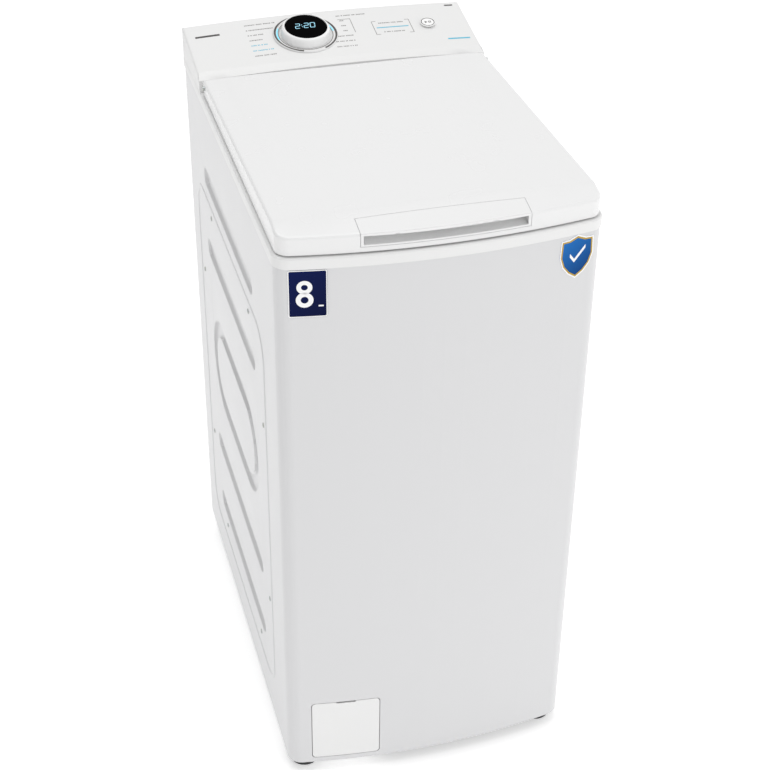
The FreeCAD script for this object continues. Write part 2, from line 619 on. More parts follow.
def make_lid():
    full = lid_solid(0)
    crease = float(P.lid_crease_y)
    rim = [e for e in full.Edges if e.BoundBox.ZMin > float(LID_FRONT_Z) - 8
           and e.BoundBox.YMin < float(P.hinge_y) - 1 and not along("Z")(e)
           and abs(e.BoundBox.YMin - crease) + abs(e.BoundBox.YMax - crease) > 2]
    soft = full.makeFillet(4, rim)
    outer = soft.cut(lid_solid(P.lid_wall))
    half = P.grip_width / 2
    grip_back = FRONT + P.grip_depth
    notch = block(-half, half, FRONT - 10, grip_back, LID_BOTTOM + P.grip_lip, P.overall_height + 20)
    bores = [rod("X", (x, P.hinge_y, HINGE_Z), P.hinge_pin_radius + P.running_gap, 20)
             for x in (-HALF_WIDTH, HALF_WIDTH - 20)]
    ears = []
    for side in (-1, 1):
        x = side * float(HALF_WIDTH - P.lid_inset)
        ear = rod("X", (min(x, x - side * 10), P.hinge_y, HINGE_Z), P.hinge_radius - 1, 10)
        ears.append(ear.common(soft))
    node("lid_outer", ready(outer.fuse(ears).cut([notch] + bores)))

    gap = P.grip_gap
    grip = full.common(block(-half + gap, half - gap, FRONT - 10, grip_back - gap,
                             LID_BOTTOM + P.grip_lip + gap, P.overall_height + 20))
    skin, lip_z = P.grip_skin, LID_FRONT_Z - P.grip_skin
    scoop = prism_x([(FRONT - 12, LID_BOTTOM + P.grip_lip + 2), (FRONT - 12, lip_z),
                     (FRONT + 6, lip_z + 0.5), (grip_back - 7, lip_z + skin), (grip_back - 4, lip_z),
                     (grip_back - 6, lip_z - 5), (FRONT + 12, LID_BOTTOM + P.grip_lip + 3)],
                    -half + 4, half - 4)
    node("lid_handle", ready(grip.cut(scoop)))

    floor_low, floor_high = LID_BOTTOM + 0.3, LID_BOTTOM + 0.3 + P.pan_wall
    plate = slab(P.lid_inset + P.lid_wall + P.seat_gap, P.hinge_y - 8, floor_low, floor_high)
    pan_half, pan_low = P.pan_width / 2, LID_BOTTOM - P.pan_depth
    pan = round_block(-pan_half, pan_half, -P.pan_front, P.pan_back, pan_low, floor_high, 20)
    inner = round_block(-pan_half + P.pan_wall, pan_half - P.pan_wall, -P.pan_front + P.pan_wall,
                        P.pan_back - P.pan_wall, pan_low + P.pan_wall, floor_high + 1, 18)
    under_grip = block(-half - 1, half + 1, FRONT - 10, grip_back + 1, LID_BOTTOM, P.overall_height)
    tray_half = P.tray_width / 2
    rails = []
    for side in (-1, 1):
        x = side * (float(tray_half) + 3)
        rails.append(block(min(x, x - side * 8), max(x, x - side * 8), P.tray_front, P.tray_back,
                           pan_low - P.rail_height, pan_low - P.rail_height + 2))
        rails.append(block(min(x, x + side * 2), max(x, x + side * 2), P.tray_front, P.tray_back,
                           pan_low - P.rail_height, pan_low))
    liner = plate.fuse(pan).cut(inner).fuse(rails)
    hook_y = -P.opening_front - 38
    slot = block(-P.hook_width / 2 - 0.3, P.hook_width / 2 + 0.3, hook_y - 0.3,
                 hook_y + P.hook_thickness + 0.3, LID_BOTTOM - 1, P.overall_height)
    node("lid_liner", ready(liner.cut([slot, under_grip])))

    plate_top = floor_high + 3
    hook = box(-P.hook_width / 2, P.hook_width / 2, hook_y, hook_y + P.hook_thickness,
               LID_BOTTOM - P.hook_reach, plate_top)
    foot = box(-P.hook_width / 2, P.hook_width / 2, hook_y, hook_y + 14, floor_high + 0.1, plate_top)
    eye = cylinder("Y", (0, hook_y - 1, LID_BOTTOM - P.hook_reach + 9), 4.5, P.hook_thickness + 2)
    node("lid_hook", cut(fuse(hook, foot), eye))
    make_tray(pan_low)


def make_tray(pan_low):
    """The detergent tray under the lid: three compartments, filled when the lid stands open."""
    half, wall = P.tray_width / 2, P.tray_wall
    top = pan_low - 0.4
    low = top - P.tray_height
    case = box(-half, half, P.tray_front, P.tray_back, low, top)
    step = P.tray_width / 3
    rooms, windows = [], []
    for i in range(3):
        x0 = -half + step * i + wall
        x1 = -half + step * (i + 1) - wall
        rooms.append(box(x0, x1, P.tray_front + wall, P.tray_back - wall, low + wall, top - wall))
        windows.append(box(x0 + 4, x1 - 4, P.tray_front + wall, P.tray_front + 62, low - 1, low + 5))
    # the rails of the liner run in a groove along each side
    grooves = [box(-half - 1, -half + 6, P.tray_front - 1, P.tray_back + 1,
                   top + 0.1 - P.rail_height, top + 3 - P.rail_height),
               box(half - 6, half + 1, P.tray_front - 1, P.tray_back + 1,
                   top + 0.1 - P.rail_height, top + 3 - P.rail_height)]
    thick = [box(-half, -half + 8, P.tray_front, P.tray_back, top - 8, top),
             box(half - 8, half, P.tray_front, P.tray_back, top - 8, top)]
    shell = fuse(cut(case, *rooms, *windows), *thick)
    cover_x0 = half - step + wall + 0.5
    cover = box(cover_x0, half - wall - 0.5, P.tray_front + 66, P.tray_back - wall - 0.5,
                low + wall + 0.2, low + wall + 2.4)
    siphon = cylinder("Z", (half - step / 2, P.tray_back - 34, low + wall + 2), 8, 22)
    group("detergent_tray", [cut(shell, *grooves), fuse(cover, siphon)])


# ---------------------------------------------------------------- console
def console_solid(inset):
    """The console's outer form, with its front hollowed round the lid's round rear edge."""
    inset = number(inset)
    wall_low = float(FRAME_TOP) if inset == 0 else float(FRAME_TOP) - 1
    front = float(P.console_front_y) + inset
    edge_y, edge_z = float(P.console_edge_y) + inset, float(P.console_edge_height)
    rear = float(CONSOLE_BACK_Y) - inset
    side_view = [(front, wall_low), (front, edge_z - 5.5 - inset), (edge_y, edge_z - inset),
                 (edge_y, edge_z + 60), (rear, edge_z + 60), (rear, wall_low)]
    half = float(HALF_WIDTH) - inset
    body = prism_x(side_view, -half, half)
    face = crown_below(P.console_edge_y, P.console_edge_height, CONSOLE_BACK_Y, CONSOLE_TOP, inset)
    nose = crown_below(P.console_front_y, P.console_edge_height - 5.5, P.console_edge_y,
                       P.console_edge_height, inset)
    return body.common(face).common(nose)


def make_console():
    full = console_solid(0)
    top_edges = [e for e in full.Edges if e.BoundBox.ZMin > float(P.console_edge_height) - 9
                 and not along("Z")(e) and e.BoundBox.ZMax > float(P.console_edge_height) - 2]
    soft = full.makeFillet(3, top_edges)
    shell = soft.cut(console_solid(P.console_wall))
    cove = rod("X", (-HALF_WIDTH, P.hinge_y, HINGE_Z), P.hinge_radius + P.cove_gap, P.cabinet_width)
    holes = []
    for x, y, radius in ((P.knob_x, P.knob_y, 10.3), (P.button_x, P.knob_y, P.button_stem / 2 + 0.3)):
        hole = Part.makeCylinder(number(radius), 30, Vector(0, 0, -20))
        hole.Placement = on_console(x, y)
        holes.append(hole)
    node("console_housing", ready(shell.cut([cove] + holes)))

    # cheeks beside the lid carry its hinge pins
    pins = []
    for x in (-HALF_WIDTH + 1, HALF_WIDTH - 1 - P.hinge_pin_length / 2):
        pins.append(cylinder("X", (x, P.hinge_y, HINGE_Z), P.hinge_pin_radius, P.hinge_pin_length / 2))
    group("lid_hinge_pins", pins)

    trim = turned("Z", None, [
        (0, P.trim_inner), (0, P.trim_outer), (0.8, P.trim_outer),
        (P.trim_height, P.trim_outer - 1.4), (P.trim_height, P.trim_outer - 2.6),
        (0.9, P.trim_outer - 4.2), (0.9, P.trim_inner)])
    node("knob_trim_ring", on_face(trim, P.knob_x, P.knob_y, 0.25))
    inner = P.window_radius + P.turning_gap
    ring = turned("Z", None, [
        (0, inner), (0, P.knob_radius), (P.knob_height - 2, P.knob_radius - P.knob_taper + 0.4),
        (P.knob_height, P.knob_radius - P.knob_taper - 1.6), (P.knob_height, inner)])
    node("program_knob", on_face(ring, P.knob_x, P.knob_y, 0.4))
    window = turned("Z", None, [
        (-8, 0), (-8, 10), (0.3, 10), (0.3, P.window_radius),
        (P.knob_height - 0.8, P.window_radius), (P.knob_height, P.window_radius - 0.8),
        (P.knob_height, 0)])
    node("display_window", on_face(window, P.knob_x, P.knob_y, 0.1))
    stand, button_top = P.button_stand, P.button_stand + P.button_height
    button = turned("Z", None, [
        (-9, 0), (-9, P.button_stem / 2), (stand, P.button_stem / 2), (stand, P.button_radius),
        (button_top - 0.5, P.button_radius), (button_top, P.button_radius - 0.6),
        (button_top, 0)])
    node("start_button", on_face(button, P.button_x, P.knob_y, 0))
    board = Part.makeBox(290, 80, float(P.board_thickness),
                         Vector(-100, -40, -float(P.board_drop) - float(P.board_thickness)))
    node("control_board", on_face(ready(board), P.knob_x, P.knob_y, 0))


def on_face(thing, x, y, lift):
    """Stands a piece on the console's face, a little above it."""
    thing.Placement = on_console(x, y).multiply(Placement(Vector(0, 0, lift), Rotation()))
    return thing


def make_lock():
    """The lid lock under the top frame: the lid's hook drops in, and a bolt goes through its eye."""
    hook_y = -P.opening_front - 38
    eye_z = LID_BOTTOM - P.hook_reach + 9
    top = FRAME_TOP - P.frame_plate - P.seat_gap
    case = box(-42, 42, hook_y - 12, hook_y + 31, top - 32, top)
    slot = box(-P.hook_width / 2 - 1, P.hook_width / 2 + 1, hook_y - 3,
               hook_y + P.hook_thickness + 1.5, top - 26, top + 1)
    bore = cylinder("Y", (0, hook_y - 9, eye_z), 3.5 + P.running_gap, 38)
    node("lid_lock", cut(case, slot, bore))
    node("lock_bolt", cylinder("Y", (0, hook_y + P.hook_thickness + 2, eye_z), 3.5, 20))


# ---------------------------------------------------------------- filter flap and pump
def flap_line():
    """The line of the flap's hinge: a point at its middle and its direction, level, along the panel."""
    half, bow = float(HALF_WIDTH), float(P.front_bow)
    big = (half * half + bow * bow) / (2 * bow)
    centre_y = float(FRONT) + big
    x0 = float(P.flap_x - P.flap_width / 2)
    x1 = float(P.flap_x + P.flap_width / 2)

    def face_y(x):
        return centre_y - math.sqrt((big - float(P.panel_inset)) ** 2 - x * x)

    way = Vector(x1 - x0, face_y(x1) - face_y(x0), 0).normalize()
    middle = Vector((x0 + x1) / 2, (face_y(x0) + face_y(x1)) / 2,
                    float(P.flap_bottom + P.flap_axis_rise))
    return middle + Vector(-way.y, way.x, 0) * float(P.flap_axis_depth), way


def recess_blocks(grow, z0, z1):
    """The shallow and the deep part of the space behind the filter flap, grown all round."""
    half = P.flap_width / 2 + P.recess_wall + 1 + grow
    deep = P.recess_half + P.recess_wall + grow
    shelf_y = FRONT + P.front_bow + P.recess_shelf
    rear_y = FRONT + P.front_bow + P.recess_depth
    return [block(P.flap_x - half, P.flap_x + half, FRONT - 5, shelf_y + grow, z0, z1),
            block(P.flap_x - deep, P.flap_x + deep, FRONT - 5, rear_y + grow, z0, z1)]


def make_filter():
    middle, way = flap_line()
    half = float(P.flap_width) / 2
    flap = slab(P.panel_inset, 0, P.flap_bottom, P.flap_bottom + P.flap_height).cut(
        slab(P.panel_inset + P.flap_thickness, 10, 0, P.overall_height))
    outline = round_block(P.flap_x - half + P.flap_gap, P.flap_x + half - P.flap_gap, FRONT - 20,
                          FRONT + 60, P.flap_bottom, P.flap_bottom + P.flap_height, P.flap_radius, "Y")
    flap_top = P.flap_bottom + P.flap_height
    notch = block(P.flap_x - P.notch_width / 2, P.flap_x + P.notch_width / 2, FRONT - 20,
                  FRONT + 60, flap_top - P.notch_depth, flap_top + 5)
    reach = half - float(P.flap_gap) - 1
    ears = []
    for end in (-1, 1):
        ear = Part.makeCylinder(3, 6, middle + way * (end * (reach - 12) - 3), way)
        web = Part.makeBox(6, float(P.flap_axis_depth), 6)
        web.Placement = Placement(middle + way * (end * (reach - 12) - 3),
                                  Rotation(Vector(0, 0, 1), math.degrees(math.atan2(way.y, way.x))))
        web.translate(Vector(way.y, -way.x, 0) * (float(P.flap_axis_depth) - 1) + Vector(0, 0, -3))
        ears += [ear, web]
    pin = Part.makeCylinder(float(P.flap_pin_radius), 2 * (reach + 3.5), middle - way * (reach + 3.5), way)
    flap = flap.common(outline).cut(notch).fuse(ears + [pin])
    node("filter_flap", ready(flap.removeSplitter()))

    rear_y = FRONT + P.front_bow + P.recess_depth
    z0, z1 = P.flap_bottom - 2.5, P.flap_bottom + P.flap_height + 1.5
    wall = P.recess_wall
    skin = slab(P.panel_inset + P.steel_sheet + 0.4, rear_y, z0 - wall, z1 + wall)
    outer = [skin.common(piece) for piece in recess_blocks(0, z0 - wall, z1 + wall)]
    room = recess_blocks(-wall, z0, z1)
    bore = Part.makeCylinder(float(P.flap_pin_radius + P.running_gap), 2 * half + 60,
                             middle - way * (half + 30), way)
    hole = rod("Y", (P.flap_x, rear_y - wall - 5, P.pump_z), P.filter_radius + 3, 20)
    node("filter_recess", ready(outer[0].fuse(outer[1]).cut(room + [bore, hole])))

    cap_y = rear_y - wall - 14
    cap = turned("Y", (P.flap_x, cap_y, P.pump_z), [
        (0, 0), (0, P.filter_cap_radius - 3), (1.5, P.filter_cap_radius), (10, P.filter_cap_radius),
        (10, P.filter_radius - 2), (62, P.filter_radius - 2), (62, P.filter_radius - 5),
        (13, P.filter_radius - 5), (13, 0)])
    grip = box(P.flap_x - 22, P.flap_x + 22, cap_y - 9, cap_y + 1, P.pump_z - 4, P.pump_z + 4)
    node("filter_cap", fuse(cap, grip))
    housing_y = rear_y + 0.3
    housing = turned("Y", (P.flap_x, housing_y, P.pump_z), [
        (0, P.filter_radius), (0, P.pump_radius + 4), (4, P.pump_radius + 4), (4, P.pump_radius),
        (68, P.pump_radius), (68, 0), (64, 0), (64, P.filter_radius)])
    way_in = cylinder("X", (P.flap_x + P.filter_radius + 1, housing_y + 40, P.pump_z + 4), 12, 22)
    way_out = cylinder("X", (P.flap_x - P.pump_radius - 10, housing_y + 40, P.pump_z), 9, 18)
    bore_in = cylinder("X", (P.flap_x + P.filter_radius - 4, housing_y + 40, P.pump_z + 4), 9, 40)
    bore_out = cylinder("X", (P.flap_x - P.pump_radius - 12, housing_y + 40, P.pump_z), 6, 30)
    motor_y = housing_y + 68
    motor = cylinder("Y", (P.flap_x, motor_y, P.pump_z), P.pump_radius - 4, 48)
    stand = box(P.flap_x - 18, P.flap_x + 18, motor_y + 8, motor_y + 40,
                P.base_bottom + P.base_floor, P.pump_z)
    group("drain_pump", [cut(fuse(housing, way_in, way_out), bore_in, bore_out), fuse(motor, stand)])
    pipe_x = -HALF_WIDTH + 22
    start = (P.flap_x - P.pump_radius - 10.2, housing_y + 40, P.pump_z)
    rise_y = REAR_PANEL_Y - 28
    points = [start, (pipe_x, start[1], P.pump_z), (pipe_x, rise_y, P.pump_z + 10),
              (-P.valve_x, rise_y, P.valve_z), (-P.valve_x, REAR_PANEL_Y + 14, P.valve_z)]
    node("drain_pipe", ready(hose(points, P.drain_radius, 1.8, 16)))


def hose(points, radius, wall, bend=30):
    """A pipe with straight runs and round bends, hollow from end to end."""
    points = [Vector(*(number(v) for v in p)) for p in points]
    runs, last = [], points[0]
    for before, corner, after in zip(points, points[1:], points[2:]):
        way_in, way_out = (corner - before).normalize(), (after - corner).normalize()
        half = way_in.getAngle(way_out) / 2
        reach = min(bend * math.tan(half), (corner - before).Length * 0.45, (after - corner).Length * 0.45)
        start, end = corner - way_in * reach, corner + way_out * reach
        inward = (way_out - way_in).normalize()
        curve = reach / math.tan(half)
        middle = corner + inward * (curve / math.cos(half) - curve)
        runs += [Part.makeLine(last, start), Part.Arc(start, middle, end).toShape()]
        last = end
    runs.append(Part.makeLine(last, points[-1]))
    way = (points[1] - points[0]).normalize()
    rings = [Part.Wire(Part.makeCircle(r, points[0], way)) for r in (number(radius), number(radius) - wall)]
    section = Part.Face(rings[0]).cut(Part.Face(rings[1])).Faces[0]
    return Part.Wire(runs).makePipe(section)


# ---------------------------------------------------------------- tub
def tub_bounds():
    half = P.tub_length / 2
    return -half - P.tub_end_wall, half + P.tub_end_wall


def make_tub():
    low, high = tub_bounds()
    rim, hub = TUB_OUTER, P.hub_length
    body = turned("X", SPIN_AT, [
        (low - hub + 4, 0), (low - hub + 4, P.hub_radius), (low, P.hub_radius + 3), (low, rim - 8),
        (low + 8, rim), (-P.tub_flange_width, rim), (-P.tub_flange_width, rim + P.tub_flange),
        (P.tub_flange_width, rim + P.tub_flange), (P.tub_flange_width, rim), (high - 8, rim),
        (high, rim - 8), (high, P.hub_radius + 3), (high + hub - 4, P.hub_radius), (high + hub - 4, 0)])
    wall = P.tub_wall
    nx, ny = P.neck_width / 2, P.neck_depth / 2
    neck = box(P.tub_x - nx - wall, P.tub_x + nx + wall, P.tub_y - ny - wall, P.tub_y + ny + wall,
               P.tub_z + P.tub_radius * 0.8, P.neck_top)
    sump_low = P.tub_z - TUB_OUTER - P.sump_drop
    sx, sy = P.sump_width / 2, P.sump_depth / 2
    sump = box(P.tub_x - sx, P.tub_x + sx, P.tub_y - sy, P.tub_y + sy, sump_low, P.tub_z - 200)
    spigot_at = (P.tub_x - 46, P.tub_y, sump_low - 18)
    lugs = []
    for x in (P.tub_x - P.spring_side + 6, P.tub_x + P.spring_side - 6):
        for y in (P.tub_y - P.spring_offset, P.tub_y + P.spring_offset):
            inner_x = 0.62 * float(x)
            lugs.append(box(min(float(x) - 12, inner_x), max(float(x) + 12, inner_x), y - 9, y + 9,
                            P.spring_bottom - 75, P.spring_bottom - 8))
    for x, y in damper_places():
        lugs.append(box(x - 12, x + 12, y - 12, y + 12, P.tub_z - 198, P.tub_z - 165))
    shell = fuse(body, neck, sump, cylinder("Z", spigot_at, P.spigot_radius - 3, 22), *lugs)
    inner = turned("X", SPIN_AT, [(-P.tub_length / 2, 0), (-P.tub_length / 2, P.tub_radius - 6),
                                  (-P.tub_length / 2 + 6, P.tub_radius),
                                  (P.tub_length / 2 - 6, P.tub_radius),
                                  (P.tub_length / 2, P.tub_radius - 6), (P.tub_length / 2, 0)])
    neck_room = box(P.tub_x - nx, P.tub_x + nx, P.tub_y - ny, P.tub_y + ny, P.tub_z + 100,
                    P.neck_top + 1)
    sump_room = box(P.tub_x - sx + wall, P.tub_x + sx - wall, P.tub_y - sy + wall,
                    P.tub_y + sy - wall, sump_low + wall, P.tub_z - 180)
    drain = cylinder("Z", spigot_at, P.spigot_radius - 6, 60)
    bearing_bore = cylinder("X", (P.tub_x + low - hub, P.tub_y, P.tub_z), P.bearing_radius,
                            P.tub_length + 2 * (hub + P.tub_end_wall))
    rods = [cylinder("X", (P.tub_x + sx - 10, P.tub_y + dy, sump_low + 14), 4.3, 20)
            for dy in (-16, 16)]
    seats = [cylinder("Z", (x, y, P.tub_z - 210), P.damper_rod + P.running_gap, 30)
             for x, y in damper_places()]
    eyes = []
    for x, y in spring_places():
        eyes.append(cylinder("Y", (x, y - 10, P.spring_bottom - 16), 3, 20))
        eyes.append(cylinder("Z", (x, y, P.spring_bottom - 19), P.spring_wire * 0.7, 20))
    whole = cut(shell, inner, neck_room, sump_room, drain, bearing_bore, *rods, *seats, *eyes)
    parting = 0.5
    left = common(whole, box(-400, P.tub_x - parting, -400, 400, 0, 1000))
    right = common(whole, box(P.tub_x + parting, 400, -400, 400, 0, 1000))
    node("tub_left_half", left)
    node("tub_right_half", right)
    seal = tube("X", (P.tub_x - parting, P.tub_y, P.tub_z), rim + P.tub_flange - 3, P.tub_radius + 1,
                2 * parting)
    neck_gap = box(P.tub_x - 2, P.tub_x + 2, P.tub_y - ny - wall - 1, P.tub_y + ny + wall + 1,
                   P.tub_z, P.neck_top)
    sump_gap = box(P.tub_x - 2, P.tub_x + 2, P.tub_y - sy - 1, P.tub_y + sy + 1, 0, P.tub_z - 150)
    seals = [cut(seal, neck_gap, sump_gap)]
    hubs = [(P.tub_x + low - hub + 4, -1), (P.tub_x + high + hub - 4, 1)]
    bearings = []
    for x, side in hubs:
        start = x if side < 0 else x - P.bearing_width
        bearings.append(tube("X", (start, P.tub_y, P.tub_z), P.bearing_radius,
                             P.shaft_radius + P.running_gap, P.bearing_width))
        inside = x + P.bearing_width if side < 0 else x - P.bearing_width - 3.5
        seals.append(tube("X", (inside, P.tub_y, P.tub_z), P.bearing_radius,
                          P.shaft_radius + P.running_gap, 3.5))
    group("tub_bearings", bearings)
    group("tub_seals", seals)
    wires = [cylinder("X", (P.tub_x - sx + 22, P.tub_y + dy, sump_low + 14), 4, P.sump_width - 15)
             for dy in (-16, 16)]
    bridge = cylinder("Y", (P.tub_x - sx + 22, P.tub_y - 16, sump_low + 14), 4, 32)
    flange = box(P.tub_x + sx, P.tub_x + sx + 5, P.tub_y - 26, P.tub_y + 26, sump_low + 4,
                 sump_low + 20)
    node("heater", fuse(*wires, bridge, flange))
    make_weights(rim)


def make_weights(rim):
    low, high = P.tub_x - 90, P.tub_x + 90
    clear = cylinder("X", (-300, P.tub_y, P.tub_z), rim, 600)
    ring = cylinder("X", (P.tub_x - P.tub_flange_width - 1, P.tub_y, P.tub_z),
                    rim + P.tub_flange + 0.5, 2 * P.tub_flange_width + 2)
    front = box(low, high, P.tub_y - 226, P.tub_y - 138, P.tub_z + 100, P.tub_z + 240)
    rear = box(low, high, P.tub_y + 138, P.tub_y + 236, P.tub_z + 100, P.tub_z + 240)
    group("counterweights", [cut(block, clear, ring) for block in (front, rear)])


# ---------------------------------------------------------------- drum
def mouth_angle():
    """Half the angle that the mouth takes from the drum's round."""
    return math.asin(float(P.mouth_depth) / 2 / float(P.drum_radius))


def knuckles(own):
    """Where the hinge barrels of a flap lie along X: the flap's own ones or the drum's."""
    low, count = float(P.tub_x - P.mouth_width / 2), 8
    step = float(P.mouth_width) / count
    return [(low + i * step + 0.3, step - 0.6) for i in range(count) if (i % 2 == 0) != own]


def hinge_at(side):
    """The hinge point of a flap, as (y, z): side -1 is the front one."""
    radius, turn = float(P.drum_radius) - float(P.barrel_radius) + 1, mouth_angle()
    return (float(P.tub_y) + side * radius * math.sin(turn), float(P.tub_z) + radius * math.cos(turn))


def sector(x0, x1, radius0, radius1, angle0, angle1):
    """A curved plate about the drum's axis, between two angles from straight up, rear positive."""
    x0, x1, radius0, radius1 = (number(v) for v in (x0, x1, radius0, radius1))

    def at(radius, angle):
        return Vector(x0, float(P.tub_y) + radius * math.sin(angle),
                      float(P.tub_z) + radius * math.cos(angle))

    middle = (angle0 + angle1) / 2
    outline = Part.Wire([
        Part.Arc(at(radius1, angle0), at(radius1, middle), at(radius1, angle1)).toShape(),
        Part.LineSegment(at(radius1, angle1), at(radius0, angle1)).toShape(),
        Part.Arc(at(radius0, angle1), at(radius0, middle), at(radius0, angle0)).toShape(),
        Part.LineSegment(at(radius0, angle0), at(radius1, angle0)).toShape()])
    return Part.Face(outline).extrude(Vector(x1 - x0, 0, 0))


def make_drum():
    radius, sheet_t = P.drum_radius, P.drum_sheet
    half = P.drum_length / 2
    x0, x1 = P.tub_x - half, P.tub_x + half
    shell = Part.makeCylinder(float(radius), float(P.drum_length),
                              Vector(float(x0), float(P.tub_y), float(P.tub_z)), Vector(1, 0, 0))
    bore = Part.makeCylinder(float(radius - sheet_t), float(P.drum_length) + 2,
                             Vector(float(x0) - 1, float(P.tub_y), float(P.tub_z)), Vector(1, 0, 0))
    shell = shell.cut(bore)
    mouth_half = P.mouth_width / 2 + 1.5
    edge = (float(P.barrel_radius) + 1.2) / float(radius)
    turn = mouth_angle() + edge
    opening = sector(P.tub_x - mouth_half, P.tub_x + mouth_half, radius - 12, radius + 5, -turn, turn)
    shell = shell.cut(opening)
    lips = []
    for side in (-1, 1):
        y, z = hinge_at(side)
        for start, length in knuckles(False):
            barrel = rod("X", (start, y, z), P.barrel_radius, length)
            low, high = sorted((side * (turn + 0.02), side * (turn - edge * 0.9)))
            tab = sector(start, start + length, radius - 2.5, radius - sheet_t + 0.3, low, high)
            bridge = sector(start, start + length, radius - 2.5, radius - sheet_t + 0.3,
                            *sorted((side * turn, side * (turn + 0.05))))
            lips += [barrel, tab, bridge]
        lips_bore = rod("X", (float(P.tub_x) - 300, y, z), P.flap_pin + P.running_gap, 600)
        lips.append(lips_bore)
    barrels = [p for i, p in enumerate(lips) if (i + 1) % (len(lips) // 2)]
    bores = [p for i, p in enumerate(lips) if not (i + 1) % (len(lips) // 2)]
    node("drum_shell", ready(shell.fuse(barrels).cut(bores)))

    ends, spiders = [], []
    for x, side in ((x0, -1), (x1, 1)):
        face = 0.0
        inner = radius - sheet_t - 0.05
        profile = [(face, 0), (face, 60), (6, 78), (6, 196), (face, 206), (face, inner - 2), (2, inner),
                   (14, inner), (14, inner - 1.2), (2.4, inner - 1.2), (1.2, inner - 3),
                   (1.2, 207.5), (7.2, 197.5), (7.2, 77), (1.2, 59), (1.2, 0)]
        if side > 0:
            profile = [(-a, r) for a, r in profile]
        ends.append(turned("X", (x, P.tub_y, P.tub_z), profile))
        spider_x = x - P.spider_thickness if side < 0 else x
        disc = cylinder("X", (spider_x, P.tub_y, P.tub_z), 46, P.spider_thickness)
        arms = []
        for i in range(3):
            arm = doc.addObject("Part::Box", "arm")
            bind(arm, Length=P.spider_thickness, Width=170, Height=30)
            turn_by = Rotation(Vector(1, 0, 0), 90 + 120 * i)
            arm.Placement = Placement(
                Vector(float(spider_x), float(P.tub_y), float(P.tub_z)) + turn_by.multVec(Vector(0, 0, -15)),
                turn_by)
            arms.append(arm)
        reach = P.tub_x - tub_bounds()[1] - P.hub_length - 2 if side < 0 else P.pulley_x + P.pulley_width
        start = reach if side < 0 else spider_x
        length = spider_x - reach if side < 0 else reach - spider_x
        shaft = cylinder("X", (start, P.tub_y, P.tub_z), P.shaft_radius, length)
        spiders.append(fuse(disc, *arms, shaft))
    group("drum_ends", ends + spiders)

    lifters = []
    for angle in (100, 180, 260):
        hump = lifter(x0 + 16, x1 - 16).cut(lifter(x0 + 16, x1 - 16, 2.5))
        hump.rotate(Vector(0, float(P.tub_y), float(P.tub_z)), Vector(1, 0, 0), -angle)
        lifters.append(ready(hump))
    group("drum_lifters", lifters)
    make_flaps()


def lifter(x0, x1, inset=0):
    """A lifter under the drum's round, drawn at the top. Its walls are set in by the inset."""
    y, z = float(P.tub_y), float(P.tub_z)
    rim = float(P.drum_radius - P.drum_sheet)
    wide, tip = float(P.lifter_width) / 2 - inset, z + rim - float(P.lifter_height) + inset
    foot = z + math.sqrt(rim ** 2 - wide ** 2)
    outline = [(y - wide, foot), (y - wide * 0.42, tip + 8), (y - wide * 0.15, tip),
               (y + wide * 0.15, tip), (y + wide * 0.42, tip + 8), (y + wide, foot), (y, z + rim + 6)]
    solid = prism_x(outline, x0 + inset, x1 - inset)
    return solid.common(rod("X", (x0, y, z), rim - 0.05 + inset, x1 - x0))


def make_flaps():
    radius, sheet_t = P.drum_radius, P.flap_sheet
    x0, x1 = P.tub_x - P.mouth_width / 2, P.tub_x + P.mouth_width / 2
    turn = mouth_angle()
    pins = []
    for side, name in ((-1, "front_flap"), (1, "rear_flap")):
        y, z = hinge_at(side)
        rim = side * 0.006
        low, high = sorted((rim, side * (turn - 0.004)))
        plate = sector(x0, x1, radius - sheet_t - 1, radius - 1, low, high)
        lip = sector(x0, x1, radius - 9, radius - 1, *sorted((rim, side * 0.0115)))
        parts = [lip]
        gaps = []
        for start, length in knuckles(True):
            parts.append(rod("X", (start, y, z), P.barrel_radius, length))
        for start, length in knuckles(False):
            gaps.append(rod("X", (start - 0.3, y, z), P.barrel_radius + 0.5, length + 0.6))
        for x in (x0, x1 - 1.2):
            parts.append(sector(x, x + 1.2, radius - 7, radius - 1, *sorted((rim, side * (turn - 0.04)))))
        bore = rod("X", (float(P.tub_x) - 300, y, z), P.flap_pin + P.running_gap, 600)
        flap = plate.fuse(parts).cut(gaps + [bore])
        if side < 0:
            hole = block(P.tub_x - 20.5, P.tub_x + 20.5, P.tub_y - 24.5, P.tub_y - 9.5,
                         P.tub_z + 200, P.tub_z + 240)
            flap = flap.cut(hole)
        else:
            keep = block(P.tub_x - 13, P.tub_x + 13, P.tub_y, P.tub_y + 8, P.tub_z + 200, P.tub_z + 220)
            flap = flap.cut(keep.common(sector(x0, x1, radius - 10, radius - 2.2, 0, 0.03)))
        node(name, ready(flap.removeSplitter()))
        pins.append(cylinder("X", (x0 + 0.5, Size(y, f"{y:.6f}"), Size(z, f"{z:.6f}")), P.flap_pin,
                             P.mouth_width - 1))
    group("flap_hinge_pins", pins)
    top = float(P.tub_z + radius) - 2.4
    cap = round_block(P.tub_x - 20, P.tub_x + 20, P.tub_y - 24, P.tub_y - 10, top - 7, top + 1.6, 3)
    neck = block(P.tub_x - 10, P.tub_x + 10, P.tub_y - 15, P.tub_y + 2.2, top - 16, top - 10.8)
    stem = block(P.tub_x - 10, P.tub_x + 10, P.tub_y - 18, P.tub_y - 11, top - 16, top - 5)
    node("latch_button", ready(cap.fuse([neck, stem]).removeSplitter()))


